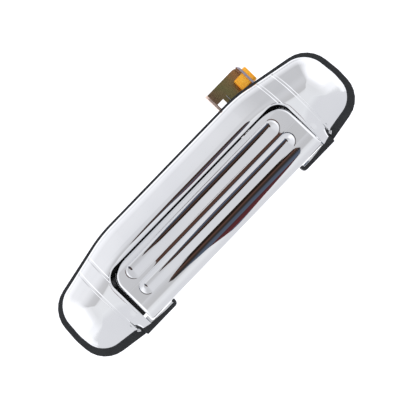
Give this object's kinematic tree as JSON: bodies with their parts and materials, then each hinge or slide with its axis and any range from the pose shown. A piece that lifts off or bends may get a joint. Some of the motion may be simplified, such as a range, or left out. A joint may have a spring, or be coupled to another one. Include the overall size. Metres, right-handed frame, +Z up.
{
  "type": "car door handle",
  "caption": "Exterior car door handle: chrome housing and hinged pull paddle on a rubber gasket, with a sprung release lever and rod clip behind.",
  "frame": {"origin": "midway between the two mounting studs, on the door skin plane at the gasket's back face", "axes": "+X along the handle towards the release lever, +Y through the door skin into the door, along the studs, +Z up towards the housing's long top bar; the front faces -Y"},
  "size_m": [0.241, 0.046, 0.0799],
  "materials": {
    "chrome": "bright chrome plate",
    "gasket_rubber": "matte moulded rubber",
    "black_steel": "black electro-coated steel",
    "bright_zinc": "clear zinc plate",
    "yellow_zinc": "yellow iridescent zinc plate",
    "spring_steel": "bare spring wire",
    "nylon": "black nylon",
    "orange_plastic": "moulded acetal"
  },
  "bodies": {
    "housing": {"housing": "chrome", "gasket": "gasket_rubber", "base_plate": "black_steel", "plate_screws": "bright_zinc", "mounting_studs": "yellow_zinc", "stud_seal_left": "gasket_rubber", "stud_seal_right": "gasket_rubber", "hinge_pin_left": "bright_zinc", "hinge_pin_right": "bright_zinc", "hinge_clips": "spring_steel", "closed_stop_left": "gasket_rubber", "closed_stop_right": "gasket_rubber", "paddle_spring": "spring_steel", "lever_bracket": "yellow_zinc", "bracket_screws": "bright_zinc", "lever_pin": "bright_zinc", "lever_clips": "spring_steel", "lever_stop": "gasket_rubber", "lever_spring": "spring_steel"},
    "paddle": {"paddle": "chrome", "paddle_seal": "gasket_rubber", "pivot_bush_left": "nylon", "pivot_bush_right": "nylon", "pull_arm": "yellow_zinc", "pull_arm_screws": "bright_zinc"},
    "release_lever": {"release_lever": "yellow_zinc", "lever_nose_cap": "nylon", "lever_bush_left": "nylon", "lever_bush_right": "nylon"},
    "rod_clip": {"rod_clip": "orange_plastic"}
  },
  "joints": [
    {"name": "paddle_pull", "type": "hinge", "parent": "housing", "child": "paddle", "pos_m": [0, -0.012, 0.0065], "axis": [-1, 0, 0], "range_deg": [0, 24], "stiffness_Nm_per_rad": 0.6, "springref_deg": -28.65, "deforming": ["paddle_spring"]},
    {"name": "lever_turn", "type": "hinge", "parent": "housing", "child": "release_lever", "pos_m": [0, 0.004, 0], "axis": [-1, 0, 0], "range_deg": [0, 16.8], "stiffness_Nm_per_rad": 0.1, "springref_deg": -28.65, "deforming": ["lever_spring"]},
    {"name": "clip_swivel", "type": "hinge", "parent": "release_lever", "child": "rod_clip", "pos_m": [0.0752, 0.0095, 0.037], "axis": [1, 0, 0], "range_deg": [-25, 25]}
  ],
  "couplings": [
    {"joint": "lever_turn", "follows": "paddle_pull", "ratio": 0.7}
  ]
}
